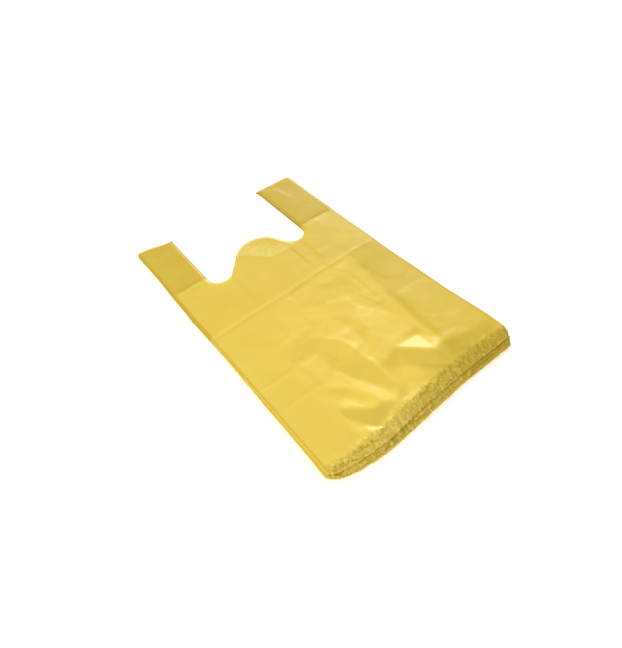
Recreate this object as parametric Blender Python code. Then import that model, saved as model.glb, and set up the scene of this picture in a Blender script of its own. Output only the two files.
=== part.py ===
"""A plastic vest carrier bag, lying flat with its handles towards +Y.

The real bag is one tube of thin film. Its two sides are tucked in as gussets, both ends are
welded straight across all plies, and a punch takes out the piece between the handles, which
opens the mouth and leaves a round tab in its middle. It is built here in that order: the
film tube as a closed solid with its gussets and seals, and then the punch through all plies.

Metres, +Z up. The origin is on the resting surface, under the centre of the bag's outline.
"""

import math

import bmesh
import bpy
from mathutils import Vector

# The flat bag
BAG_WIDTH = 0.280
BAG_LENGTH = 0.480
GUSSET_DEPTH = 0.075
FILM = 0.0005  # the real film is about 0.02 mm
CORNER_RADIUS = 0.012  # of the handles' outer corners

# The punched piece: two notches beside the handles, and the tab between them
PUNCH_X = -0.004  # the punch sits a little off the bag's centreline
HANDLE_GAP = 0.168
NOTCH_RADIUS = 0.019
NOTCH_CENTRE_Y = 0.1145
TAB_RADIUS = 0.041
TAB_CENTRE = (0.001, 0.103)

# How thick the bag lies, from the handles' ends down to the bottom end. The three fold
# lines are where it was once folded up for its packet: a valley, a ridge and a ridge.
FOLD_BY_HANDLES = 0.120
FOLD_ACROSS_MIDDLE = 0.022
FOLD_BY_BOTTOM = -0.090
LIE = (
    (0.240, 0.0070),
    (0.180, 0.0068),
    (FOLD_BY_HANDLES, 0.0062),
    (0.070, 0.0078),
    (FOLD_ACROSS_MIDDLE, 0.0096),
    (-0.035, 0.0096),
    (FOLD_BY_BOTTOM, 0.0125),
    (-0.150, 0.0185),
    (-0.205, 0.0260),
)
BODY_STEP = 0.024

# The bottom end: the front film rolls over a shoulder down to the weld, and the back film
# bulges out below it. Both are parts of ellipses in the YZ plane.
WELD_Y = -0.232
WELD_BASE_Z = 0.0086
WELD_THICKNESS = 4 * FILM + 0.0003
SHOULDER_Y = LIE[-1][0]
BACK_BULGE = 0.008
SKIRT_LENGTH = 0.004  # the film left outside the weld
END_STEPS = 6
UPPER_FOLD_INSET = 0.006  # the upper side fold sits this far in at the bottom end

POCKET = 0.0010  # between the two gusset plies
FOLD_ANGLES = [math.radians(a) for a in (60, 30, 0, -30, -60)]

FILM_YELLOW = (0.76, 0.53, 0.09, 1.0)
FILM_ROUGHNESS = 0.38


class Station:
    """One place along the bag: the front and back film there, in the YZ plane."""

    def __init__(self, front, back, pocket=POCKET, corner=0.0, inset=0.0):
        self.front = Vector(front)
        self.back = Vector(back)
        self.pocket = pocket
        self.lower_edge = BAG_WIDTH / 2 - corner
        self.upper_edge = self.lower_edge - inset
        self.front_out = Vector((0, 1))
        self.back_out = Vector((0, -1))


def smooth_between(points, at):
    """The value at a place between the points of a falling list of (place, value)."""
    for (high, high_value), (low, low_value) in zip(points, points[1:]):
        if at >= low:
            share = min(1.0, (high - at) / (high - low))
            return high_value + (low_value - high_value) * share * share * (3 - 2 * share)
    return points[-1][1]


def weld_station(y, corner=0.0, inset=0.0, base_z=WELD_BASE_Z):
    """All plies pressed together, as at a weld."""
    return Station((y, base_z + WELD_THICKNESS), (y, base_z), 0.0003, corner, inset)


def bottom_stations():
    """From the skirt's edge over the weld, until the film is as thick as the bag lies."""
    made = [
        weld_station(WELD_Y - SKIRT_LENGTH, inset=UPPER_FOLD_INSET),
        weld_station(WELD_Y, inset=UPPER_FOLD_INSET),
    ]
    front_base = WELD_BASE_Z + WELD_THICKNESS
    front_rise = LIE[-1][1] - front_base
    front_run = SHOULDER_Y - WELD_Y
    half_back = WELD_BASE_Z / 2
    for step in range(1, END_STEPS + 1):
        share = step / END_STEPS
        turn = math.pi / 2 * (1 - share)
        front = (SHOULDER_Y - front_run * math.sin(turn), front_base + front_rise * math.cos(turn))
        turn = math.pi / 2 * (1 - 2 * share)
        back = (WELD_Y - BACK_BULGE * math.cos(turn), half_back * (1 + math.sin(turn)))
        made.append(Station(front, back, inset=UPPER_FOLD_INSET))
    return made


def body_stations():
    """The long flat stretch, with a station on each fold line."""
    folds = [FOLD_BY_HANDLES, FOLD_ACROSS_MIDDLE, FOLD_BY_BOTTOM]
    top = BAG_LENGTH / 2 - CORNER_RADIUS - BODY_STEP / 2
    count = round((top - SHOULDER_Y) / BODY_STEP)
    plain = [SHOULDER_Y + (top - SHOULDER_Y) * i / count for i in range(1, count + 1)]
    places = folds + [y for y in plain if min(abs(y - fold) for fold in folds) > BODY_STEP / 3]
    made = []
    for y in sorted(places):
        near_bottom = smooth_between([(0.0, 0.0), (SHOULDER_Y, 1.0)], min(y, 0.0))
        height = smooth_between(LIE, y)
        made.append(Station((y, height), (y, 0.0), inset=UPPER_FOLD_INSET * near_bottom))
    return made


def handle_end_stations():
    """The handles' rounded outer corners, and the weld across the handles' ends."""
    made = []
    for degrees in (0, 30, 60):
        turn = math.radians(degrees)
        y = BAG_LENGTH / 2 - CORNER_RADIUS * (1 - math.sin(turn)) - SKIRT_LENGTH / 4
        corner = CORNER_RADIUS * (1 - math.cos(turn))
        height = smooth_between(LIE, y) * (1 - degrees / 150)
        made.append(Station((y, height), (y, 0.0), POCKET * (1 - degrees / 150), corner))
    made.append(weld_station(BAG_LENGTH / 2, CORNER_RADIUS * 0.75, base_z=0.0))
    return made


def set_outward(stations):
    """Gives each station the directions that its front and back film face."""
    for i, station in enumerate(stations):
        before, after = stations[max(i - 1, 0)], stations[min(i + 1, len(stations) - 1)]
        along = after.front - before.front
        station.front_out = Vector((-along.y, along.x)).normalized()
        along = after.back - before.back
        station.back_out = Vector((along.y, -along.x)).normalized()


def side_fold(x, upper, lower, radius):
    """The points round a side fold, from the upper ply's face to the lower one's."""
    middle, half = (upper + lower) / 2, (upper - lower) / 2
    return [(x + radius * math.cos(a), middle + half * math.sin(a)) for a in FOLD_ANGLES]


def half_loops(station):
    """The +X halves of the film's outer and inner loops, each point as (x, its YZ place)."""
    front, back = station.front, station.back
    front_in = front - station.front_out * FILM
    back_in = back - station.back_out * FILM
    down = (back_in - front_in).normalized()
    air = ((back_in - front_in).length - station.pocket - 2 * FILM) / 2
    upper_in, lower_in = front_in + down * air, back_in - down * air
    upper_out, lower_out = upper_in + down * FILM, lower_in - down * FILM
    gusset_x = BAG_WIDTH / 2 - GUSSET_DEPTH
    upper_radius = (front - upper_out).length / 2
    lower_radius = (back - lower_out).length / 2
    upper_x = station.upper_edge - upper_radius
    lower_x = station.lower_edge - lower_radius
    outer = [(0, front), (gusset_x / 2, front), (gusset_x, front), (upper_x, front)]
    outer += side_fold(upper_x, front, upper_out, upper_radius)
    outer += [(upper_x, upper_out), (gusset_x, upper_out)]
    outer += [(gusset_x, lower_out), (lower_x, lower_out)]
    outer += side_fold(lower_x, lower_out, back, lower_radius)
    outer += [(lower_x, back), (gusset_x, back), (gusset_x / 2, back), (0, back)]
    wall_x = gusset_x - FILM
    inner = [(0, front_in), (gusset_x / 2, front_in), (wall_x, front_in), (upper_x, front_in)]
    inner += side_fold(upper_x, front_in, upper_in, upper_radius - FILM)
    inner += [(upper_x, upper_in), (wall_x, upper_in)]
    inner += [(wall_x, lower_in), (lower_x, lower_in)]
    inner += side_fold(lower_x, lower_in, back_in, lower_radius - FILM)
    inner += [(lower_x, back_in), (wall_x, back_in), (gusset_x / 2, back_in), (0, back_in)]
    return outer, inner


def whole_loop(half):
    """A closed loop of points from its +X half."""
    mirrored = [(-x, place) for x, place in reversed(half[1:-1])]
    return [Vector((x, place.x, place.y)) for x, place in half + mirrored]


def add_loft(mesh, loops):
    """Adds a closed body through loops of as many points each, and returns its faces."""
    rings = [[mesh.verts.new(point) for point in loop] for loop in loops]
    faces = [mesh.faces.new(rings[0]), mesh.faces.new(rings[-1])]
    for ring, following in zip(rings, rings[1:]):
        for i in range(len(ring)):
            j = (i + 1) % len(ring)
            faces.append(mesh.faces.new((ring[i], ring[j], following[j], following[i])))
    bmesh.ops.recalc_face_normals(mesh, faces=faces)
    return faces


def film_tube(stations):
    """The folded film before the punch: its outer skin, and the closed space inside it."""
    mesh = bmesh.new()
    halves = [half_loops(station) for station in stations]
    add_loft(mesh, [whole_loop(outer) for outer, _ in halves])
    inside = add_loft(mesh, [whole_loop(inner) for _, inner in halves[2:-1]])
    bmesh.ops.reverse_faces(mesh, faces=inside)
    return mesh


def arc(centre, radius, start, stop, steps):
    turns = [start + (stop - start) * i / steps for i in range(steps + 1)]
    return [(centre[0] + radius * math.cos(a), centre[1] + radius * math.sin(a)) for a in turns]


def punch_side(side):
    """One side of the punched piece, drawn as if at +X: handle edge, notch, half the tab.

    A straight line that touches both circles joins the notch to the tab.
    """
    notch = (HANDLE_GAP / 2 - NOTCH_RADIUS, NOTCH_CENTRE_Y)
    tab = (side * (TAB_CENTRE[0] - PUNCH_X), TAB_CENTRE[1])
    apart = math.dist(notch, tab)
    lean = math.atan2(notch[1] - tab[1], notch[0] - tab[0])
    touch = lean + math.acos((NOTCH_RADIUS + TAB_RADIUS) / apart)
    points = [(HANDLE_GAP / 2, BAG_LENGTH / 2 + 0.02)]
    points += arc(notch, NOTCH_RADIUS, 0, touch - math.pi, 10)
    points += arc(tab, TAB_RADIUS, touch, math.pi / 2, 8)
    return [(PUNCH_X + side * x, y) for x, y in points]


def punch_outline():
    """The punched piece's outline: up the handles, round the notches and over the tab."""
    return punch_side(1) + punch_side(-1)[-2::-1]


def add_object(name, mesh):
    data = bpy.data.meshes.new(name)
    mesh.to_mesh(data)
    mesh.free()
    made = bpy.data.objects.new(name, data)
    bpy.context.scene.collection.objects.link(made)
    return made


def handle_punch():
    """The cutter that opens the mouth and leaves the handles and the tab."""
    below, height = 0.01, 0.06
    mesh = bmesh.new()
    corners = [mesh.verts.new((x, y, -below)) for x, y in punch_outline()]
    face = mesh.faces.new(corners)
    raised = bmesh.ops.extrude_face_region(mesh, geom=[face])["geom"]
    tops = [item for item in raised if isinstance(item, bmesh.types.BMVert)]
    bmesh.ops.translate(mesh, verts=tops, vec=(0, 0, height))
    bmesh.ops.recalc_face_normals(mesh, faces=mesh.faces)
    punch = add_object("handle_punch", mesh)
    punch.hide_render = True
    punch.display_type = "WIRE"
    return punch


def yellow_film():
    material = bpy.data.materials.new("yellow_film")
    material.use_nodes = True
    shader = material.node_tree.nodes["Principled BSDF"]
    shader.inputs["Base Color"].default_value = FILM_YELLOW
    shader.inputs["Roughness"].default_value = FILM_ROUGHNESS
    shader.inputs["Metallic"].default_value = 0.0
    return material


def carrier_bag():
    stations = bottom_stations() + body_stations() + handle_end_stations()
    set_outward(stations)
    bag = add_object("carrier_bag", film_tube(stations))
    bag.data.materials.append(yellow_film())
    bag.data.shade_smooth()
    bag.data.set_sharp_from_angle(angle=math.radians(40))
    cut = bag.modifiers.new("handle_punch", "BOOLEAN")
    cut.operation = "DIFFERENCE"
    cut.solver = "EXACT"
    cut.object = handle_punch()
    return bag


def main():
    for old in list(bpy.data.objects):
        bpy.data.objects.remove(old)
    carrier_bag()


main()
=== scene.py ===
"""The looks of a yellow vest carrier bag: its creased film, its welds, and a pale studio round it.

Metres and the model's own frame: +Y runs towards the handles, +Z out of the front panel, and
the origin is on the resting surface under the centre of the flat bag.
"""

import math

import bpy
import numpy as np
from bpy.props import FloatProperty, FloatVectorProperty, PointerProperty
from mathutils import Matrix, Vector
from mathutils.geometry import delaunay_2d_cdt


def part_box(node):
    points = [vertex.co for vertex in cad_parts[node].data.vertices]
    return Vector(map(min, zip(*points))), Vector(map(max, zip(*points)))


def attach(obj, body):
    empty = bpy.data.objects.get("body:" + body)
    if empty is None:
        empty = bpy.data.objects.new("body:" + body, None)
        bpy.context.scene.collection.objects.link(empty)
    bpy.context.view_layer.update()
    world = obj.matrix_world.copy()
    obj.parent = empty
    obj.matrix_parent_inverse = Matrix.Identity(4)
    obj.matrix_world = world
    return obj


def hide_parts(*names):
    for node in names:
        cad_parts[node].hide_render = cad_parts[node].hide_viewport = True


bl_info = {
    "name": "Vest Carrier Bag",
    "version": (1, 0, 0),
    "blender": (4, 5, 0),
    "location": "View3D > Sidebar > Carrier Bag",
    "description": "Builds a creased film carrier bag round its packed solid",
    "category": "Mesh",
}

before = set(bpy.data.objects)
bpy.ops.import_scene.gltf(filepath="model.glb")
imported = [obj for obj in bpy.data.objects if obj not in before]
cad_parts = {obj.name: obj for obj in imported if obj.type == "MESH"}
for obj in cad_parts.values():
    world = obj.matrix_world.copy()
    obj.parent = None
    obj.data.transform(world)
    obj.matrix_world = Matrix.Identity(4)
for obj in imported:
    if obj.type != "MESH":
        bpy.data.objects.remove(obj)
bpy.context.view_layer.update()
_, BAG_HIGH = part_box("carrier_bag")
HALF_WIDTH = BAG_HIGH.x
HALF_LENGTH = BAG_HIGH.y

AIM = Vector((-0.0251, -0.0468, 0.0))  # what the camera looks at
FLOOR_HALF = 6.0


# ---------------------------------------------------------------------------
# Sizes and colours
# ---------------------------------------------------------------------------


def power(name, description, default):
    return FloatProperty(name=name, description=description, default=default, min=0)


def metres(name, description, default):
    return FloatProperty(
        name=name, description=description, default=default, unit="LENGTH", precision=4
    )


def share(name, description, default):
    return FloatProperty(name=name, description=description, default=default, min=0, max=1)


def angle(name, description, degrees):
    return FloatProperty(
        name=name, description=description, default=math.radians(degrees), subtype="ANGLE"
    )


def colour(name, description, default):
    return FloatVectorProperty(
        name=name, description=description, default=default, subtype="COLOR", size=3, min=0, max=1
    )


class BagShape(bpy.types.PropertyGroup):
    """The flat bag and its punched piece."""

    gusset_depth: metres("Gusset Depth", "How far each side is tucked in", 0.075)
    corner_radius: metres("Corner Radius", "Of the handles' outer corners", 0.012)
    punch_x: metres("Punch X", "The middle of the punched piece", -0.004)
    handle_gap: metres("Handle Gap", "Between the handles' inner edges", 0.168)
    notch_radius: metres("Notch Radius", "Of the round notch beside each handle", 0.019)
    notch_y: metres("Notch Y", "The notches' centres", 0.1145)
    tab_radius: metres("Tab Radius", "Of the tab between the notches", 0.041)
    tab_x: metres("Tab X", "The tab's centre", 0.001)
    tab_y: metres("Tab Y", "The tab's centre", 0.103)
    skirt_length: metres("Skirt Length", "Film left outside the bottom weld", 0.006)


class FilmLook(bpy.types.PropertyGroup):
    """The film's colour and gloss."""

    film: colour("Film", "Where the bag lies puffed", (0.875, 0.635, 0.096))
    # The deep colour is where painted shade and the random deeper tone take the film
    deep_and_shaded: colour("Deep Film", "Painted shade, and deeper tone at random", (0.660, 0.468, 0.045))
    # The pale colour also gives painted highlight specks along the bottom end
    pale: colour("Pale Film", "Where the film is crumpled to a frost", (0.90, 0.74, 0.20))
    roughness: share("Roughness", "Of smooth film", 0.44)
    coat: share("Gloss", "How strong the sharper second gloss is", 0.055)


class Studio(bpy.types.PropertyGroup):
    """The floor, the lights and the camera."""

    floor: colour("Floor", "The pale floor", (0.95, 0.95, 0.95))
    floor_glow: share("Floor Glow", "How strongly the floor lights the bag from below", 0.40)
    azimuth: angle("Azimuth", "Of the camera", -31.617)
    elevation: angle("Elevation", "Of the camera", 49.492)
    roll: angle("Roll", "Of the camera", -7.435)
    distance: metres("Distance", "From the camera to what it looks at", 0.7252)
    lens: FloatProperty(name="Lens", description="In millimetres", default=30.64, min=1)
    sky: power("Sky", "Strength of the even light", 0.50)
    far_power: power("Far Power", "Of the light behind the bag", 2.5)
    left_power: power("Left Power", "Of the light at -X", 1.0)
    near_power: power("Near Power", "Of the light in front", 0.45)


# ---------------------------------------------------------------------------
# Small numeric helpers
# ---------------------------------------------------------------------------


FACET_CRISPNESS = 10.0  # how suddenly one facet of crumpled film gives way to the next


def smooth_step(value, low, high):
    part = np.clip((value - low) / (high - low), 0.0, 1.0)
    return part * part * (3 - 2 * part)


def smooth_through(at, points):
    """A smooth curve through a few (place, value) points, level beyond both ends."""
    places, values = np.array(sorted(points)).T
    fine = np.linspace(places[0], places[-1], 400)
    reach = int(400 / len(places) * 0.5)
    weights = np.hanning(2 * reach + 1)
    padded = np.pad(np.interp(fine, places, values), reach, mode="edge")
    soft = np.convolve(padded, weights / weights.sum(), mode="valid")
    return np.interp(at, fine, soft)


def value_noise(x, y, seed):
    """Smooth noise from -1 to 1, with features one unit across."""
    table = np.random.default_rng(seed).uniform(-1, 1, (64, 64))
    x0, y0 = np.floor(x).astype(int), np.floor(y).astype(int)
    fx, fy = x - x0, y - y0
    fx, fy = fx * fx * (3 - 2 * fx), fy * fy * (3 - 2 * fy)
    low = table[x0 % 64, y0 % 64] * (1 - fx) + table[(x0 + 1) % 64, y0 % 64] * fx
    high = table[x0 % 64, (y0 + 1) % 64] * (1 - fx) + table[(x0 + 1) % 64, (y0 + 1) % 64] * fx
    return low * (1 - fy) + high * fy


def facet_noise(x, y, seed, size, tilt):
    """Crumpled film: nearly flat facets, each round a random centre, that meet in creases."""
    rng = np.random.default_rng(seed)
    reach = 0.36
    side = int(2 * reach / size)
    grid = np.stack(np.meshgrid(np.arange(side), np.arange(side)), -1).reshape(-1, 2) + 0.5
    centres = grid * size - reach + rng.uniform(-0.42, 0.42, grid.shape) * size
    tilts = rng.normal(0, tilt, centres.shape)
    lifts = rng.normal(0, tilt * size * 0.25, len(centres))
    row = np.floor((y + reach) / size).astype(int)
    column = np.floor((x + reach) / size).astype(int)
    squares, heights = [], []
    for i in (-1, 0, 1):
        for j in (-1, 0, 1):
            index = np.clip(row + i, 0, side - 1) * side + np.clip(column + j, 0, side - 1)
            dx, dy = x - centres[index, 0], y - centres[index, 1]
            squares.append((dx * dx + dy * dy) / size**2)
            heights.append(lifts[index] + tilts[index, 0] * dx + tilts[index, 1] * dy)
    squares = np.stack(squares)
    weights = np.exp(-FACET_CRISPNESS * (squares - squares.min(0)))
    return (np.stack(heights) * weights).sum(0) / weights.sum(0)


# ---------------------------------------------------------------------------
# How the front film lies: folds, gusset steps, creases and gathers
# ---------------------------------------------------------------------------


def along_line(x, y, start, end):
    """(share of the way from start to end, signed distance from the line) of each point."""
    (x0, y0), (x1, y1) = start, end
    length = math.hypot(x1 - x0, y1 - y0)
    ux, uy = (x1 - x0) / length, (y1 - y0) / length
    way = ((x - x0) * ux + (y - y0) * uy) / length
    off = -(x - x0) * uy + (y - y0) * ux
    return way, off


def ridge(x, y, start, end, height, width):
    """A sharp crease along a line: a ridge, or a valley where the height is negative."""
    way, off = along_line(x, y, start, end)
    ends = smooth_step(way, 0, 0.2) * (1 - smooth_step(way, 0.8, 1))
    return height * ends * np.exp(-np.abs(off) / width)


def ledge(x, y, start, end, height, width, sharp=0.0022):
    """A step along a line, up on the left of its direction, that levels out on both sides."""
    way, off = along_line(x, y, start, end)
    ends = smooth_step(way, 0, 0.2) * (1 - smooth_step(way, 0.8, 1))
    return height * ends * np.tanh(off / sharp) * np.exp(-np.abs(off) / width)


# The quarter folds: start, end, height and width of each. A height below 0 makes a valley
QUARTER_FOLDS = (
    ((-0.150, -0.0975), (-0.092, -0.0990), -0.0007, 0.0024),
    ((-0.150, -0.1360), (-0.076, -0.1370), -0.0005, 0.0024),
    ((0.080, -0.0860), (0.155, -0.0880), -0.0002, 0.0026),
)

# The gussets' inner folds: start, end, height and width of each step
GUSSET_STEPS = (
    ((-0.0570, 0.104), (-0.0600, 0.026), 0.0005, 0.008),
    ((-0.0580, 0.004), (-0.0665, -0.072), 0.0004, 0.008),
    ((0.0400, 0.108), (0.0390, 0.034), 0.0005, 0.008),
    ((0.0600, 0.100), (0.0620, 0.028), 0.0003, 0.008),
    ((0.0690, -0.016), (0.0660, -0.082), 0.0005, 0.009),
    ((0.0500, -0.052), (0.0580, -0.092), 0.0004, 0.008),
)


def packet_folds(x, y):
    """The folds that the bag had in its packet: across the middle, the handles and the quarter."""
    off = y - 0.0140 - 0.028 * x - 0.0010 * value_noise(x * 30, y * 0, 3)
    lift = 0.0010 * np.exp(-np.abs(off) / 0.0028) * (1 - 0.4 * smooth_step(x, 0.080, 0.115))
    handle = smooth_step(np.abs(x), 0.066, 0.078)
    lift -= 0.0012 * handle * np.exp(-np.abs(y - 0.1195) / 0.0040)
    for start, end, height, width in QUARTER_FOLDS:
        lift += ridge(x, y, start, end, height, width)
    return lift


def gusset_edges(x, y):
    """The gussets' inner folds, which show through the front film as long uneven steps."""
    lift = np.zeros_like(x)
    for start, end, height, width in GUSSET_STEPS:
        lift += ledge(x, y, start, end, height, width)
    # The softer, taller one where the puffed end falls away to the flat strip at +X
    lift += ledge(x, y, (0.0860, -0.080), (0.0715, -0.194), 0.0014, 0.016, 0.0045)
    return lift


# The creases of the puffed lower half: the x, y and lift of each one's corners, in millimetres.
# The first five are the area's edges. Creases that share a corner give it the same lift.
CREASES = (
    ((-140, 8, 0), (-60, 6, 0), (-20, 6, 0), (22, 4, 0), (48, 4, 0), (90, 6, 0), (140, 8, 0)),
    ((-140, 8, 0), (-140, -120, 0), (-140, -232, 0)),
    ((140, 8, 0), (140, -120, 0), (140, -198, 0), (140, -230, -5)),
    ((-140, -232, 0), (-100, -234, 0), (-60, -234, -4), (-20, -232, -2), (20, -230, -6.5)),
    ((20, -230, -6.5), (60, -230, -7), (90, -230, -6), (140, -230, -5)),
    ((-97, -96, 0.8), (-97, -150, 0.8), (-97, -214, 0.6)),
    ((-85, -97, -0.5), (-83, -135, -0.8), (-83, -170, 0)),
    ((-76, -110, -0.2), (-76, -150, -0.4)),
    ((-55, -22, 0.5), (-52, -58, 0.4)),
    ((-18, -24, -0.3), (-4, -58, -0.4)),
    ((22, -4, 0.3), (27, -19, -0.3)),
    ((36, -11, 0.4), (43, -25, -0.3)),
    ((-46, -70, -0.6), (-55, -98, -2.8), (-51, -130, -4.4), (-41, -160, -4.6), (-25, -198, -3.2)),
    ((-34, -84, 0.6), (-20, -105, 2.2), (-17, -130, 3.2), (-16, -150, 3.6), (-14, -168, 2.9)),
    ((-14, -168, 2.9), (-17, -202, 0.8)),
    ((4, -92, -0.6), (2, -120, -1.2), (-9, -150, 0.9)),
    ((50, -30, 0.1), (34, -60, 0.5), (21, -90, 1.3), (14, -120, 1.7), (4, -145, 2.2), (-14, -168, 2.9)),
    ((40, -78, -0.6), (53, -92, -1.4), (62, -120, -2.4), (60, -148, -2.2), (40, -147, -1.0), (20, -150, 1.2)),
    ((21, -157, 1.0), (57, -157, -4.2), (52, -195, 4.0), (21, -157, 1.0)),
    ((6, -182, -4.6), (24, -192, -5.6), (40, -209, -5.6), (58, -224, -6.6)),
    ((-2, -206, -5.0), (18, -222, -6.2)),
    ((-8, -184, -1.6), (-14, -214, -2.8)),
    ((67, -152, -1.6), (66, -176, 0.2), (64, -190, 2.4), (76, -189, 1.8), (88, -197, 1.0)),
    ((88, -197, 1.0), (112, -200, 0), (140, -198, 0)),
    ((-88, -177, 0.8), (-68, -173, -3.0), (-57, -205, 1.0), (-88, -177, 0.8)),
    ((-85, -194, -2.6), (-73, -213, -5.2), (-62, -226, -6.2)),
    ((-90, -213, -1.4), (-80, -222, -1.2)),
    ((-60, -162, -1.6), (-44, -206, 0.6), (-30, -216, 0)),
    ((78, -60, 0), (100, -100, 0)),
    ((100, -150, 0), (100, -186, 0)),
)


CREASE_ROUNDING = 2.2  # in millimetres, either way from each crease

# The gathers along the bottom weld, fine and coarse: spacing, width, height and length
GATHERS = ((0.0036, 0.0011, 0.0004, 0.0032), (0.0090, 0.0020, 0.0005, 0.0055))


def creased_panel(x, y):
    """The flat facets between the creases, a little rounded where they meet."""
    corners = sorted({corner for crease in CREASES for corner in crease})
    index = {corner: i for i, corner in enumerate(corners)}
    edges = [(index[a], index[b]) for crease in CREASES for a, b in zip(crease, crease[1:])]
    triangles = delaunay_2d_cdt([Vector(corner[:2]) for corner in corners], edges, [], 0, 1e-4)[2]
    lift = np.zeros_like(x)
    reach = CREASE_ROUNDING
    steps = ((0, 0), (reach, 0), (-reach, 0), (0, reach), (0, -reach))
    for shift_x, shift_y in steps:
        at_x, at_y = x * 1000 + shift_x, y * 1000 + shift_y
        for triangle in triangles:
            (ax, ay, az), (bx, by, bz), (cx, cy, cz) = (corners[i] for i in triangle)
            area = (bx - ax) * (cy - ay) - (cx - ax) * (by - ay)
            wb = ((at_x - ax) * (cy - ay) - (cx - ax) * (at_y - ay)) / area
            wc = ((bx - ax) * (at_y - ay) - (at_x - ax) * (by - ay)) / area
            inside = (wb >= 0) & (wc >= 0) & (wb + wc < 1)
            lift = lift + inside * ((1 - wb - wc) * az + wb * bz + wc * cz)
    return lift / (1000 * len(steps))


def end_puckers(x, above, roll):
    """Short sharp gathers, square to the bottom weld, from just above the shoulder to the weld."""
    rng = np.random.default_rng(5)
    lift = np.zeros_like(x)
    for spacing, width, height, length in GATHERS:
        at = -HALF_WIDTH
        while at < HALF_WIDTH:
            at += spacing * rng.uniform(0.5, 1.5)
            wide = width * rng.uniform(0.6, 1.4)
            reach = length * rng.uniform(0.4, 1.6) * (1.25 - 4.5 * at)
            lean = rng.normal(0, 0.25)
            tall = height * rng.uniform(0.3, 1.2) * rng.choice([1, 1, -1])
            off = (x - at - lean * (above - 0.012 * roll)) / wide
            profile = np.exp(-np.abs(off) ** 1.5) * np.exp(-((above / reach) ** 2))
            lift += tall * profile * (1 - 0.4 * roll)
    crushed = 0.0006 * value_noise(x / 0.0030, roll * 7.0 - above / 0.004, 14)
    crushed += 0.0004 * value_noise(x / 0.0017, roll * 11.0 - above / 0.004, 15)
    return lift + crushed * np.exp(-((above / 0.005) ** 2))


def front_lift(x, y):
    """Everything that lifts or dents the front film, over the plain lie of the bag."""
    middle = smooth_step(x, -0.125, -0.070) * (1 - smooth_step(x, 0.070, 0.105))
    low = 1 - smooth_step(y, -0.03, 0.06)
    upper = 0.35 + 0.65 * low
    lift = packet_folds(x, y) + gusset_edges(x, y) + creased_panel(x, y)
    lift += facet_noise(x, y, 21, 0.034, 0.016) * (0.5 + 0.5 * middle * low)
    lift += facet_noise(x, y, 22, 0.014, 0.010) * (0.3 + 0.7 * middle * low) * upper
    lift += 0.0012 * value_noise(x / 0.055, y / 0.055, 8) * upper
    return lift


# ---------------------------------------------------------------------------
# The bag's outline and how thick it lies
# ---------------------------------------------------------------------------


def arc(centre, radius, start, stop, steps):
    turns = np.linspace(start, stop, steps + 1)
    return [(centre[0] + radius * math.cos(a), centre[1] + radius * math.sin(a)) for a in turns]


def punch_outline(shape):
    """The punched piece's outline: up the handles, round the notches and over the tab."""

    def one_side(side):
        notch = (shape.handle_gap / 2 - shape.notch_radius, shape.notch_y)
        tab = (side * (shape.tab_x - shape.punch_x), shape.tab_y)
        lean = math.atan2(notch[1] - tab[1], notch[0] - tab[0])
        touch = lean + math.acos((shape.notch_radius + shape.tab_radius) / math.dist(notch, tab))
        points = [(shape.handle_gap / 2, HALF_LENGTH + 0.02)]
        points += arc(notch, shape.notch_radius, 0, touch - math.pi, 40)
        points += arc(tab, shape.tab_radius, touch, math.pi / 2, 40)
        return [(shape.punch_x + side * x, y) for x, y in points]

    return np.array(one_side(1) + one_side(-1)[-2::-1])


def nearest_on(outline, x, y):
    """The nearest point of a closed outline to each point, and how far it is."""
    best = np.full(x.shape, 1e9)
    near_x, near_y = np.zeros_like(x), np.zeros_like(y)
    for (ax, ay), (bx, by) in zip(outline, np.roll(outline, -1, axis=0)):
        dx, dy = bx - ax, by - ay
        way = np.clip(((x - ax) * dx + (y - ay) * dy) / (dx * dx + dy * dy), 0, 1)
        px, py = ax + way * dx, ay + way * dy
        away = np.hypot(x - px, y - py)
        closer = away < best
        best = np.where(closer, away, best)
        near_x, near_y = np.where(closer, px, near_x), np.where(closer, py, near_y)
    return near_x, near_y, best


def is_inside(outline, x, y):
    inside = np.zeros(x.shape, bool)
    for (ax, ay), (bx, by) in zip(outline, np.roll(outline, -1, axis=0)):
        if ay == by:
            continue
        crosses = ((ay > y) != (by > y)) & (x < ax + (y - ay) / (by - ay) * (bx - ax))
        inside ^= crosses
    return inside


def thickness(x, y, cut_distance):
    """How thick the bag lies at each place of its body, before the creases."""
    lie = smooth_through(
        y,
        [
            (0.240, 0.0044),
            (0.180, 0.0046),
            (0.120, 0.0046),
            (0.070, 0.0064),
            (0.022, 0.0088),
            (-0.035, 0.0098),
            (-0.090, 0.0132),
            (-0.150, 0.0190),
            (-0.205, 0.0262),
            (-0.235, 0.0270),
        ],
    )
    at_end = 1 - smooth_step(y, -0.205, -0.06)
    lie = lie * (1 + at_end * (end_height(x) / 0.0268 - 1))
    crown = 1 - 0.16 * smooth_step(np.abs(x), 0.07, HALF_WIDTH)
    droop = 0.72 + 0.28 * smooth_step(cut_distance, 0, 0.005)
    closing = 0.30 + 0.70 * smooth_step(HALF_LENGTH - y, 0, 0.006)
    return lie * crown * droop * closing


def end_height(x):
    """The top of the rolled-over bottom end, which is puffed more towards +X."""
    low = [(-0.14, 0.0185), (-0.10, 0.0195), (-0.03, 0.0230)]
    return smooth_through(x, low + [(0.01, 0.0250), (0.07, 0.0270), (0.14, 0.0268)])


def shoulder_y(x):
    """Where the front film starts to roll over at the bottom end."""
    left = [(-0.14, -0.2230), (-0.11, -0.2285), (-0.07, -0.2300)]
    return smooth_through(x, left + [(0.0, -0.2210), (0.07, -0.2180), (0.14, -0.2185)])


def weld_y(x):
    """The weld's line, which sits back in a groove."""
    left = [(-0.14, -0.2330), (-0.11, -0.2385), (-0.07, -0.2415)]
    return smooth_through(x, left + [(-0.01, -0.2345), (0.05, -0.2310), (0.14, -0.2305)])


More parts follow.
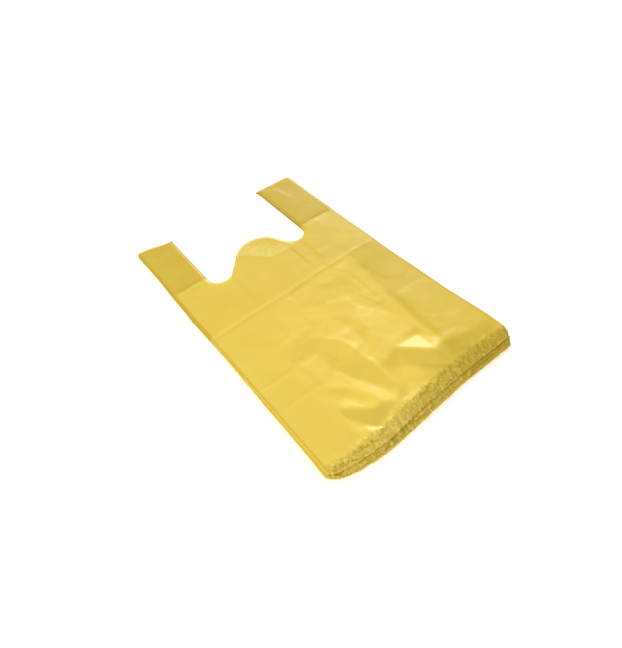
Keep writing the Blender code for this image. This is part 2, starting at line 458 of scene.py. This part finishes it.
def lobe_y(x):
    """How far out the back film bulges under the weld."""
    left = [(-0.14, -0.2370), (-0.12, -0.2455), (-0.08, -0.2500), (-0.04, -0.2480)]
    return smooth_through(x, left + [(0.01, -0.2435), (0.05, -0.2405), (0.14, -0.2395)])


def weld_z(x):
    """How high the weld lies over the floor."""
    return 0.0092 + 0.0010 * value_noise(x / 0.04, x * 0, 31) + 0.0012 * smooth_step(x, 0.0, 0.14)


# ---------------------------------------------------------------------------
# The film mesh
# ---------------------------------------------------------------------------

FRONT_COLUMNS = 270
FOLD_COLUMNS = 7
GUSSET_COLUMNS = 13
BACK_COLUMNS = 50
BODY_ROWS = 190
ROLL_ROWS = 30
SKIRT_ROWS = 5
ROLL_TURN = math.radians(134)  # past the vertical, so that the weld sits in a groove
STRAIGHT_SHARE = 0.4  # of the rolled end's profile, which makes its shoulder sharper
BULGE_TURN = math.radians(150)  # how far the back film turns on its way up to the weld
ROLL_START = -0.206  # where the flat grid's body ends and its rolled end starts
PLY_GAP = 0.03  # half the gap between the two gusset plies, as a share of the bag's depth
ON_FLOOR = 0.0002  # the back film's height
UPPER_INSET, LOWER_INSET = -0.0028, -0.0036  # of the side folds; below 0 they stand out


def ring_columns(shape):
    """The columns round the film tube, as (x, turn round a side fold, share of depth).

    The share runs from 0 at the front film to 1 at the back film. A turn is only meant on a
    side fold, where x is the bag's edge and the turn goes from 0 at its top to pi at its foot.
    """
    inner = HALF_WIDTH - shape.gusset_depth
    columns = [(x, None, 0.0) for x in np.linspace(-HALF_WIDTH, HALF_WIDTH, FRONT_COLUMNS)[1:-1]]
    right = [(HALF_WIDTH, turn, 0.0) for turn in np.linspace(0, math.pi, FOLD_COLUMNS)[1:-1]]
    gusset = np.linspace(HALF_WIDTH, inner, GUSSET_COLUMNS)[1:]
    right += [(x, None, 0.5 - PLY_GAP) for x in gusset]
    right += [(x, None, 0.5 + PLY_GAP) for x in gusset[::-1]]
    right += [(HALF_WIDTH, turn, 1.0) for turn in np.linspace(0, math.pi, FOLD_COLUMNS)[1:-1]]
    back = [(x, None, 1.0) for x in np.linspace(HALF_WIDTH, -HALF_WIDTH, BACK_COLUMNS)[1:-1]]
    left = [(-x, turn, depth) for x, turn, depth in right[::-1]]
    return columns + right + back + left


def place_film(shape, x, y, roll, skirt, turn, depth, outline):
    """Where the film of each grid point lies.

    roll goes from 0 at the shoulder to 1 at the weld, and skirt from 0 at the weld to 1 at the
    free edge. On a side fold, turn goes round it; depth is as in ring_columns.
    """
    _, _, cut = nearest_on(outline, x, y)
    cut = np.where(y > 0.05, cut, 1.0)
    height = thickness(x, y, cut)
    calm = 0.35 + 0.65 * smooth_step(cut, 0, 0.010)
    edge = smooth_step(HALF_WIDTH - np.abs(x), 0.0, 0.012)
    closing = smooth_step(HALF_LENGTH - y, 0, 0.010)
    weld_at_z = weld_z(x)
    shoulder = shoulder_y(x)
    cornering = np.clip((np.abs(x) - HALF_WIDTH + 0.007) / 0.007, 0, 1)
    rounding_off = np.sqrt(1 - 0.6 * cornering**2)
    weld_at_y = shoulder - (shoulder - weld_y(x)) * rounding_off
    pucker = end_puckers(x, np.maximum(y - shoulder_y(x), 0), roll)
    height = height + front_lift(x, y) * calm * (0.25 + 0.75 * edge) * closing
    # The front film and the back film over the body
    front_y, front_z = y.copy(), height
    back_y, back_z = y.copy(), np.full_like(x, ON_FLOOR)
    out_y, out_z = np.zeros_like(x), np.ones_like(x)
    # The same two at the bottom end, where both turn towards the weld
    ending = roll > 0
    turned = roll * ROLL_TURN
    straight = STRAIGHT_SHARE * roll
    curved = 1 - STRAIGHT_SHARE
    across = straight + curved * np.sin(turned) / math.sin(ROLL_TURN)
    down = straight + curved * (1 - np.cos(turned)) / (1 - math.cos(ROLL_TURN))
    roll_y = shoulder - (shoulder - weld_at_y) * across
    roll_z = height - (height - weld_at_z) * down
    front_y, front_z = np.where(ending, roll_y, front_y), np.where(ending, roll_z, front_z)
    out_y = np.where(ending, -np.sin(turned), out_y)
    out_z = np.where(ending, np.cos(turned), out_z)
    bulge = BULGE_TURN * roll
    swell = (weld_y(x) - lobe_y(x)) * rounding_off + 0.9 * pucker * smooth_step(roll, 0.4, 0.7)
    low_y = shoulder - (shoulder - weld_at_y + swell) * np.sin(np.minimum(bulge, math.pi / 2))
    low_y = low_y + 2 * swell * (1 - np.sin(np.maximum(bulge, math.pi / 2)))
    low_z = weld_at_z * smooth_step(bulge, 0.3, BULGE_TURN) * 0.97
    back_y, back_z = np.where(ending, low_y, back_y), np.where(ending, low_z, back_z)
    # The skirt outside the weld, where each ply ruffles by itself
    ruffle = 0.0016 * value_noise(x / 0.006, depth * 3.1, 41)
    ruffle += 0.0012 * value_noise(x / 0.017, depth * 2.3, 42)
    length = shape.skirt_length * (1 + 0.35 * value_noise(x / 0.021, depth * 5, 43)) * rounding_off**2
    front_y = front_y - skirt * length * (1 - 0.2 * depth)
    back_y = back_y - skirt * length * (1 - 0.2 * depth)
    front_z = front_z + skirt * (ruffle - 0.0015 * skirt + 0.0010 * (0.5 - depth))
    back_z = back_z + skirt * (ruffle - 0.0015 * skirt + 0.0010 * (0.5 - depth))
    pucker = pucker * smooth_step(-y, 0.15, 0.20) * (1 - smooth_step(skirt, 0, 0.2))
    front_y, front_z = front_y + pucker * out_y, front_z + pucker * out_z
    # Every ply lies between the two
    down_y, down_z = back_y - front_y, back_z - front_z
    apart = np.hypot(down_y, down_z)
    spread = (0.5 - PLY_GAP) / 2
    radius = apart * (0.5 - PLY_GAP) / 2
    fold = ~np.isnan(turn)
    angle = np.where(fold, turn, 0)
    upper = depth < 0.5
    centre = np.where(upper, spread, 1 - spread)
    part = np.where(fold, centre - spread * np.cos(angle), depth)
    side = np.sign(x)
    past = smooth_step(y, HALF_LENGTH - shape.corner_radius, HALF_LENGTH + 0.004)
    rounding = 1 - np.sqrt(1 - past**2)
    squeeze = 1 - shape.corner_radius * rounding * 0.8 / HALF_WIDTH
    inset = np.where(upper, UPPER_INSET, LOWER_INSET)
    wander = 0.0014 * value_noise(y / 0.06 + np.where(upper, 0, 9), side * 2.5, 51)
    wander += 0.0004 * value_noise(y / 0.020 + np.where(upper, 0, 9), side * 2.5, 52)
    corner = 0.002 * smooth_step(roll, 0.0, 1.0) + 0.003 * skirt
    limit = HALF_WIDTH - radius - inset + wander - corner
    flat_x = x * np.minimum(1.0, limit / HALF_WIDTH)
    out_x = np.where(fold, side * (limit + radius * np.sin(angle)), flat_x) * squeeze
    out = np.stack([out_x, front_y + down_y * part, front_z + down_z * part], -1)
    # The handles do not lie quite straight
    bend = smooth_step(out[..., 1], 0.13, 0.24)
    left = smooth_step(-out[..., 0], 0.09, 0.134)
    out[..., 1] += bend * np.where(out[..., 0] < 0, -0.009 * (1 - left), 0.002)
    out[..., 2] = np.maximum(out[..., 2], ON_FLOOR)
    return out


def film_grid(shape):
    """The grid of film points in the flat bag, before the punch: x, y, roll, skirt, turn, depth."""
    columns = ring_columns(shape)
    body = np.linspace(HALF_LENGTH, ROLL_START, BODY_ROWS)
    rows = [(y, 0.0, 0.0) for y in body]
    rows += [(ROLL_START, step / ROLL_ROWS, 0.0) for step in range(1, ROLL_ROWS + 1)]
    rows += [(ROLL_START, 1.0, step / SKIRT_ROWS) for step in range(1, SKIRT_ROWS + 1)]
    x = np.array([[c[0] for c in columns]] * len(rows))
    turn = np.array([[np.nan if c[1] is None else c[1] for c in columns]] * len(rows))
    depth = np.array([[c[2] for c in columns]] * len(rows))
    y = np.array([[r[0]] * len(columns) for r in rows])
    roll = np.array([[r[1]] * len(columns) for r in rows])
    skirt = np.array([[r[2]] * len(columns) for r in rows])
    # Body rows between the last straight one and the shoulder, which is not straight
    stretch = smooth_step(-y, 0.150, -ROLL_START)
    y = y + stretch * (shoulder_y(x) - ROLL_START)
    return x, y, roll, skirt, turn, depth


def cut_out(shape, outline, x, y):
    """Which faces stay after the punch, and x and y with the cut edge moved onto its outline."""
    middle_x = (x + np.roll(x, -1, axis=1))[:-1] / 2
    middle_y = (y[:-1] + y[1:]) / 2
    wraps = np.abs(x - np.roll(x, -1, axis=1))[:-1] > 0.05
    keep = ~is_inside(outline, np.where(wraps, x[:-1], middle_x), middle_y)
    kept_round = np.zeros(x.shape, int)
    gone_round = np.zeros(x.shape, int)
    for row_shift in (0, 1):
        for column_shift in (0, 1):
            placed = np.roll(keep, column_shift, axis=1)
            rows = slice(row_shift, row_shift + keep.shape[0])
            kept_round[rows] += placed
            gone_round[rows] += ~placed
    on_edge = (kept_round > 0) & (gone_round > 0)
    near_x, near_y, _ = nearest_on(outline, x[on_edge], y[on_edge])
    x, y = x.copy(), y.copy()
    x[on_edge], y[on_edge] = near_x, near_y
    return keep, x, y


def film_mesh(shape):
    x, y, roll, skirt, turn, depth = film_grid(shape)
    outline = punch_outline(shape)
    keep, x, y = cut_out(shape, outline, x, y)
    places = place_film(shape, x, y, roll, skirt, turn, depth, outline)
    rows, columns = x.shape
    index = np.arange(rows * columns).reshape(rows, columns)
    following = np.roll(index, -1, axis=1)
    quads = np.stack([index[:-1], following[:-1], following[1:], index[1:]], -1)[keep]
    used = np.unique(quads)
    renumber = np.zeros(rows * columns, int)
    renumber[used] = np.arange(len(used))
    mesh = bpy.data.meshes.new("carrier_bag_film")
    mesh.from_pydata(places.reshape(-1, 3)[used].tolist(), [], renumber[quads].tolist())
    mesh.validate()
    mesh.shade_smooth()
    return mesh


# ---------------------------------------------------------------------------
# Shader maths
# ---------------------------------------------------------------------------


class Value:
    """A shader socket that adds, subtracts and multiplies by placing Math nodes."""

    def __init__(self, shader, socket):
        self.shader = shader
        self.socket = socket

    def maths(self, operation, other):
        return self.shader.node("ShaderNodeMath", {"operation": operation}, {0: self, 1: other})

    def __add__(self, other):
        return self.maths("ADD", other)

    def __sub__(self, other):
        return self.maths("SUBTRACT", other)

    def __mul__(self, other):
        return self.maths("MULTIPLY", other)

    __radd__ = __add__

    def __rsub__(self, other):
        return self.shader.node("ShaderNodeMath", {"operation": "SUBTRACT"}, {0: other, 1: self})

    def ramp(self, low, high):
        """0 below low and 1 above high, and smooth between."""
        settings = {"interpolation_type": "SMOOTHSTEP", "clamp": True}
        ends = {"From Min": low, "From Max": high, "To Min": 0.0, "To Max": 1.0}
        return self.shader.node("ShaderNodeMapRange", settings, {"Value": self, **ends})


class Shader:
    """The node tree of one new material."""

    def __init__(self, name):
        self.material = bpy.data.materials.new(name)
        self.material.use_nodes = True
        self.tree = self.material.node_tree
        self.surface = self.tree.nodes["Principled BSDF"]

    def node(self, kind, settings, sockets, output=0):
        """Adds a node, sets its settings, feeds its sockets and returns one of its outputs."""
        made = self.tree.nodes.new(kind)
        for name, setting in settings.items():
            setattr(made, name, setting)
        for name, source in sockets.items():
            self.feed(made.inputs[name], source)
        return Value(self, made.outputs[output])

    def feed(self, socket, source):
        if isinstance(source, Value):
            self.tree.links.new(source.socket, socket)
        else:
            socket.default_value = source

    def set(self, **sockets):
        for name, source in sockets.items():
            self.feed(self.surface.inputs[name.replace("_", " ")], source)

    def place(self):
        return self.node("ShaderNodeTexCoord", {}, {}, "Object")

    def split(self, vector):
        made = self.node("ShaderNodeSeparateXYZ", {}, {"Vector": vector})
        return [Value(self, output) for output in made.socket.node.outputs]

    def stretched(self, vector, scale):
        return self.node("ShaderNodeVectorMath", {"operation": "MULTIPLY"}, {0: vector, 1: scale})

    def noise(self, vector, scale, detail=2.0, **more):
        sockets = {"Vector": vector, "Scale": scale, "Detail": detail, **more}
        return self.node("ShaderNodeTexNoise", {}, sockets, "Fac")

    def mix(self, amount, low, high):
        """A colour between low and high."""
        settings = {"data_type": "RGBA"}
        return self.node("ShaderNodeMix", settings, {0: amount, 6: low, 7: high}, 2)

    def bump(self, height, strength, distance, under=None):
        sockets = {"Height": height, "Strength": strength, "Distance": distance}
        if under is not None:
            sockets["Normal"] = under
        return self.node("ShaderNodeBump", {}, sockets)


def opaque(rgb):
    return (*rgb, 1.0)


def tab_frost(film, place, front):
    """Crumpled film on the tab, past a slanting line across it."""
    x, y, _ = film.split(place)
    from_line = (x + 0.029) * 0.725 + (y - 0.127) * 0.689
    band = from_line.ramp(-0.001, 0.002) * (1 - from_line.ramp(0.020, 0.040))
    flecks = film.noise(film.stretched(place, (90.0, 260.0, 90.0)), 1.0, 3.0).ramp(0.30, 0.70)
    on_tab = y.ramp(0.084, 0.092) * (1 - (x * x).ramp(0.0045, 0.0060))
    return band * (0.35 + flecks * 0.65) * front * on_tab


def film_material(look, shape):
    """Glossy film: finely wrinkled, darker with painted shade in places, paler where it is crumpled, and with
    painted highlight specks at the bottom end.
    """
    film = Shader("yellow_film")
    place = film.place()
    x, y, z = film.split(place)
    # Where each kind of film lies
    front = z.ramp(0.0006, 0.0014)
    handle = y.ramp(0.114, 0.122) * (x * x).ramp(0.0045, 0.0060)
    above_fold = y.ramp(0.010, 0.018)
    strip = (x - y * 0.13).ramp(0.086, 0.094) * (1 - above_fold)
    near_end = 1 - (y + x * x * 0.3 - x * 0.04).ramp(-0.224, -0.214)
    end_face = near_end * (1 - z.ramp(0.0175, 0.0225))
    beside = x - shape.punch_x
    handle_edge = handle * (1 - (beside * beside).ramp(0.0071, 0.0075))
    edge = (x * x).ramp(0.0190, 0.0195) + handle_edge
    frost = tab_frost(film, place, front)
    # How dark the colour is: mostly painted shade, and tone that differs at random
    cloud = film.noise(place, 14.0, 3.0)
    # Bands for the painted shadow lines between the plies on the end face
    painted_ply_shadow_lines = film.noise(film.stretched(place, (9.0, 9.0, 520.0)), 1.0, 2.0)
    # Darker on the handles and above the middle fold, and painted shade to the right and on the right strip
    painted_shade_and_tone = (handle * 0.40 + above_fold * 0.25 + x.ramp(-0.10, 0.16) * 0.35) * front
    painted_shade_and_tone = painted_shade_and_tone + strip * front * 0.30
    painted_shade_and_tone = painted_shade_and_tone + (cloud - 0.5) * 0.5
    # Painted shade on the right half of the bottom end
    painted_shade_and_tone = painted_shade_and_tone + near_end * x.ramp(-0.06, 0.06) * 0.30
    # Painted shade on the end face, with painted shadow lines between its plies
    painted_shade_and_tone = painted_shade_and_tone + end_face * (painted_ply_shadow_lines.ramp(0.50, 0.58) * 0.75 + 0.05)
    # Painted shade along the side edges and the handles' cut edges
    painted_shade_and_tone = painted_shade_and_tone + edge * 0.5
    body = film.mix(painted_shade_and_tone.ramp(0.0, 1.0), opaque(look.film), opaque(look.deep_and_shaded))
    gathered_place = film.stretched(place, (330.0, 170.0, 200.0))
    gathered = film.noise(gathered_place, 1.0, 2.0, Distortion=0.6)
    # Paler on the tab's crumpled frost, and painted highlight specks along the bottom end, fewer to the right
    frost_and_painted_glints = frost * 0.75 + near_end * gathered.ramp(0.52, 0.68) * (1 - x.ramp(-0.08, 0.08) * 0.6)
    film.set(Base_Color=film.mix(frost_and_painted_glints.ramp(0.0, 1.0), body, opaque(look.pale)))
    # Its gloss
    film.set(Roughness=film.noise(place, 60.0, 3.0) * 0.16 + (look.roughness - 0.08))
    film.set(Coat_Weight=(1 - edge) * (near_end * 0.20 + look.coat), Coat_Roughness=0.19)
    film.set(IOR=1.5, Specular_IOR_Level=0.07)
    # Its finest wrinkles
    drawn = film.noise(film.stretched(place, (420.0, 24.0, 24.0)), 1.0, 2.0)
    crinkle = film.noise(place, 150.0, 3.0, Distortion=1.4)
    fine = film.bump(drawn, 0.06, 0.0002)
    fine = film.bump(crinkle, 0.22, 0.0010, fine)
    fine = film.bump(gathered * near_end, 0.7, 0.0028, fine)
    film.set(Normal=film.bump(crinkle * frost, 0.20, 0.0010, fine))
    return film.material


def floor_material(studio):
    floor = Shader("pale_floor")
    floor.set(Base_Color=opaque(studio.floor), Roughness=0.8, Specular_IOR_Level=0.2)
    floor.set(Emission_Color=opaque(studio.floor), Emission_Strength=studio.floor_glow)
    return floor.material


# ---------------------------------------------------------------------------
# Operators
# ---------------------------------------------------------------------------


def add_piece(name, data, material=None):
    piece = bpy.data.objects.new(name, data)
    bpy.context.scene.collection.objects.link(piece)
    if material is not None:
        data.materials.append(material)
    return piece


class BAG_OT_film(bpy.types.Operator):
    """Build the bag's film, with its folds, gussets, welds, handles and tab"""

    bl_idname = "carrier_bag.film"
    bl_label = "Build Film"

    def execute(self, context):
        scene = context.scene
        shape = scene.carrier_bag_shape
        bag = add_piece("bag_film", film_mesh(shape), film_material(scene.carrier_bag_look, shape))
        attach(bag, "root")
        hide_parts("carrier_bag")
        return {"FINISHED"}


class BAG_OT_stage(bpy.types.Operator):
    """Set up the floor, the soft lights and the camera"""

    bl_idname = "carrier_bag.stage"
    bl_label = "Set Up Studio"

    def execute(self, context):
        studio = context.scene.carrier_bag_studio
        self.add_floor(studio)
        self.add_light("far_light", (0.62, 0.73, 0.30), 16, studio.far_power)
        self.add_light("left_light", (-0.85, 0.10, 0.50), 40, studio.left_power)
        self.add_light("near_light", (-0.85, -0.45, 0.35), 30, studio.near_power)
        self.add_sky(studio)
        self.add_camera(studio)
        context.scene.view_settings.view_transform = "Standard"
        return {"FINISHED"}

    def add_floor(self, studio):
        far = FLOOR_HALF
        corners = [(-far, -far, 0), (far, -far, 0), (far, far, 0), (-far, far, 0)]
        mesh = bpy.data.meshes.new("floor")
        mesh.from_pydata(corners, [], [(0, 1, 2, 3)])
        add_piece("floor", mesh, floor_material(studio))

    def add_light(self, name, source, spread, power):
        """A far soft light, which covers spread degrees of the sky towards source."""
        light = bpy.data.lights.new(name, "SUN")
        light.angle = math.radians(spread)
        light.energy = power
        lamp = add_piece(name, light)
        lamp.location = source
        lamp.rotation_euler = (-Vector(source)).to_track_quat("-Z", "Y").to_euler()

    def add_sky(self, studio):
        world = bpy.data.worlds.new("studio_sky")
        world.use_nodes = True
        background = world.node_tree.nodes["Background"]
        background.inputs["Color"].default_value = (1.0, 1.0, 1.0, 1.0)
        background.inputs["Strength"].default_value = studio.sky
        bpy.context.scene.world = world

    def add_camera(self, studio):
        turn, rise = studio.azimuth, studio.elevation
        level_share = math.cos(rise)
        back = Vector((math.sin(turn) * level_share, -math.cos(turn) * level_share, math.sin(rise)))
        level = (-back).cross(Vector((0, 0, 1))).normalized()
        upright = level.cross(-back)
        right = level * math.cos(studio.roll) + upright * math.sin(studio.roll)
        up = upright * math.cos(studio.roll) - level * math.sin(studio.roll)
        camera = add_piece("camera", bpy.data.cameras.new("camera"))
        camera.data.lens = studio.lens
        turned = Matrix((right, up, back)).transposed().to_4x4()
        camera.matrix_world = Matrix.Translation(AIM + back * studio.distance) @ turned
        camera.data.clip_start = 0.01
        bpy.context.scene.camera = camera


class BAG_PT_panel(bpy.types.Panel):
    """The carrier bag's settings and its steps"""

    bl_idname = "BAG_PT_panel"
    bl_label = "Carrier Bag"
    bl_space_type = "VIEW_3D"
    bl_region_type = "UI"
    bl_category = "Carrier Bag"

    def draw(self, context):
        scene = context.scene
        for group in (scene.carrier_bag_shape, scene.carrier_bag_look, scene.carrier_bag_studio):
            box = self.layout.box()
            for name in group.__annotations__:
                box.prop(group, name)
        for step in STEPS:
            self.layout.operator(step.bl_idname)


STEPS = (BAG_OT_film, BAG_OT_stage)
GROUPS = {
    "carrier_bag_shape": BagShape,
    "carrier_bag_look": FilmLook,
    "carrier_bag_studio": Studio,
}


def register():
    for cls in (*GROUPS.values(), *STEPS, BAG_PT_panel):
        bpy.utils.register_class(cls)
    for name, group in GROUPS.items():
        setattr(bpy.types.Scene, name, PointerProperty(type=group))


def unregister():
    for name in GROUPS:
        delattr(bpy.types.Scene, name)
    for cls in (BAG_PT_panel, *STEPS[::-1], *list(GROUPS.values())[::-1]):
        bpy.utils.unregister_class(cls)


def main():
    register()
    bpy.ops.carrier_bag.film()
    bpy.ops.carrier_bag.stage()


if __name__ == "__main__":
    main()
